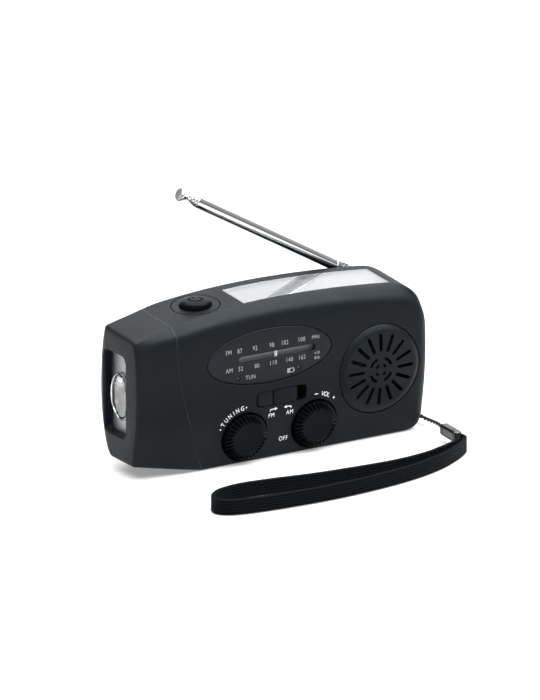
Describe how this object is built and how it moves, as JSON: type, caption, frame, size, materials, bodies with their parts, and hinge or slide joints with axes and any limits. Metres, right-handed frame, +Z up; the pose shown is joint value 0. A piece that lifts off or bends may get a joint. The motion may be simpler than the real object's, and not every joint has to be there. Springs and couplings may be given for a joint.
{
  "type": "emergency radio",
  "caption": "Pocket emergency radio: analogue dial, speaker, solar cell, fold-out hand crank, telescopic antenna, end torch and wrist strap.",
  "frame": {"origin": "centre of the flat base, on the surface the radio stands on", "axes": "+X along the case from the torch end to the speaker end, -Y out of the front with the dial, +Z up"},
  "size_m": [0.1297, 0.1095, 0.1016],
  "materials": {
    "case_rubber": "soft-touch charcoal",
    "dial_grey": "glossy dark grey",
    "black_plastic": "fine black",
    "white_plastic": "natural white",
    "pointer": "warm white",
    "clear_plastic": "clear",
    "led_red": "tinted red",
    "led_green": "tinted green",
    "led_epoxy": "water-clear",
    "steel": "plated",
    "chrome": "polished",
    "brass": "turned",
    "copper": "enamelled copper wire",
    "circuit_board": "solder-masked fibreglass",
    "phenolic": "brown phenolic",
    "battery_wrap": "shrink wrap",
    "ferrite": "sintered ferrite",
    "silicon": "solar cell",
    "cone_paper": "black paper",
    "rubber": "soft",
    "webbing": "woven nylon"
  },
  "bodies": {
    "case": {"front_shell": "case_rubber", "rear_shell": "case_rubber", "torch_head": "case_rubber", "speaker_grille": "case_rubber", "dial_plate": "dial_grey", "gearbox_plate": "black_plastic", "strap_ferrule": "black_plastic", "dial_backing": "white_plastic", "solar_cover": "clear_plastic", "torch_lens": "clear_plastic", "tuning_capacitor": "clear_plastic", "tuning_led": "led_red", "charge_led": "led_green", "torch_led_1": "led_epoxy", "torch_led_2": "led_epoxy", "torch_led_3": "led_epoxy", "case_screw_1": "steel", "case_screw_2": "steel", "case_screw_3": "steel", "case_screw_4": "steel", "speaker_frame": "steel", "generator_can": "steel", "band_switch": "steel", "torch_switch": "steel", "antenna_bracket": "steel", "antenna_pivot": "steel", "usb_socket": "steel", "strap_pin": "steel", "torch_reflector": "chrome", "antenna_coil": "copper", "main_board": "circuit_board", "torch_board": "circuit_board", "torch_led_board": "circuit_board", "volume_control": "phenolic", "battery_pack": "battery_wrap", "ferrite_rod": "ferrite", "solar_cell": "silicon", "speaker_cone": "cone_paper", "strap_cord": "webbing", "strap_webbing": "webbing"},
    "spindle": {"crank_spindle": "black_plastic", "crank_gear": "white_plastic", "crank_hinge_pin": "steel"},
    "arm": {"crank_arm": "black_plastic", "crank_knob_pin": "steel"},
    "grip": {"crank_knob": "black_plastic"},
    "idler": {"idler_gear": "white_plastic"},
    "rotor": {"generator_rotor": "brass"},
    "tuner": {"tuning_knob": "black_plastic", "tuning_shaft": "white_plastic"},
    "pointer": {"pointer_rack": "pointer"},
    "volume": {"volume_knob": "black_plastic", "volume_shaft": "white_plastic"},
    "slider": {"band_slider": "black_plastic"},
    "button": {"torch_button": "black_plastic"},
    "mast": {"antenna_base": "chrome"},
    "stage_1": {"antenna_stage_1": "chrome"},
    "stage_2": {"antenna_stage_2": "chrome"},
    "tip": {"antenna_rod": "chrome"},
    "flap": {"port_cover": "rubber"}
  },
  "joints": [
    {"name": "crank_spin", "type": "hinge", "parent": "case", "child": "spindle", "pos_m": [0.008, 0.016, 0.031], "axis": [0, 1, 0], "continuous": true},
    {"name": "crank_fold", "type": "hinge", "parent": "spindle", "child": "arm", "pos_m": [0.008, 0.0221, 0.031], "axis": [0, 0, 1], "range_deg": [0, 180]},
    {"name": "grip_spin", "type": "hinge", "parent": "arm", "child": "grip", "pos_m": [0.046, 0.0275, 0.031], "axis": [0, 1, 0], "continuous": true},
    {"name": "idler_spin", "type": "hinge", "parent": "case", "child": "idler", "pos_m": [-0.00691, 0.009, 0.04144], "axis": [0, 1, 0], "continuous": true},
    {"name": "rotor_spin", "type": "hinge", "parent": "case", "child": "rotor", "pos_m": [0.00921, 0.0015, 0.04305], "axis": [0, 1, 0], "continuous": true},
    {"name": "tuning_turn", "type": "hinge", "parent": "case", "child": "tuner", "pos_m": [-0.017, -0.0167, 0.011], "axis": [0, 0.9903, 0.1392], "range_deg": [-130, 122]},
    {"name": "pointer_slide", "type": "slide", "parent": "case", "child": "pointer", "axis": [1, 0, 0], "range_m": [-0.016, 0.015]},
    {"name": "volume_turn", "type": "hinge", "parent": "case", "child": "volume", "pos_m": [0.0135, -0.0167, 0.011], "axis": [0, 0.9903, 0.1392], "range_deg": [0, 270]},
    {"name": "band_slide", "type": "slide", "parent": "case", "child": "slider", "axis": [1, 0, 0], "range_m": [0, 0.0038]},
    {"name": "torch_press", "type": "slide", "parent": "case", "child": "button", "axis": [0, 0, -1], "range_m": [0, 0.0012], "stiffness_N_per_m": 600, "springref_m": -0.0005},
    {"name": "antenna_swing", "type": "hinge", "parent": "case", "child": "mast", "pos_m": [0.0465, 0.0135, 0.057], "axis": [0, 1, 0], "range_deg": [-30, 90]},
    {"name": "antenna_pull_1", "type": "slide", "parent": "mast", "child": "stage_1", "axis": [-0.866, 0, 0.5], "range_m": [0, 0.06]},
    {"name": "antenna_pull_2", "type": "slide", "parent": "stage_1", "child": "stage_2", "axis": [-0.866, 0, 0.5], "range_m": [0, 0.06]},
    {"name": "antenna_pull_3", "type": "slide", "parent": "stage_2", "child": "tip", "axis": [-0.866, 0, 0.5], "range_m": [0, 0.06]},
    {"name": "port_flap", "type": "hinge", "parent": "case", "child": "flap", "pos_m": [0.06275, -0.0052, 0.0239], "axis": [0, 1, 0], "range_deg": [0, 100]}
  ],
  "couplings": [
    {"joint": "idler_spin", "follows": "crank_spin", "ratio": -3.5},
    {"joint": "rotor_spin", "follows": "crank_spin", "ratio": 10.5},
    {"joint": "pointer_slide", "follows": "tuning_turn", "m_per_rad": 0.007}
  ]
}
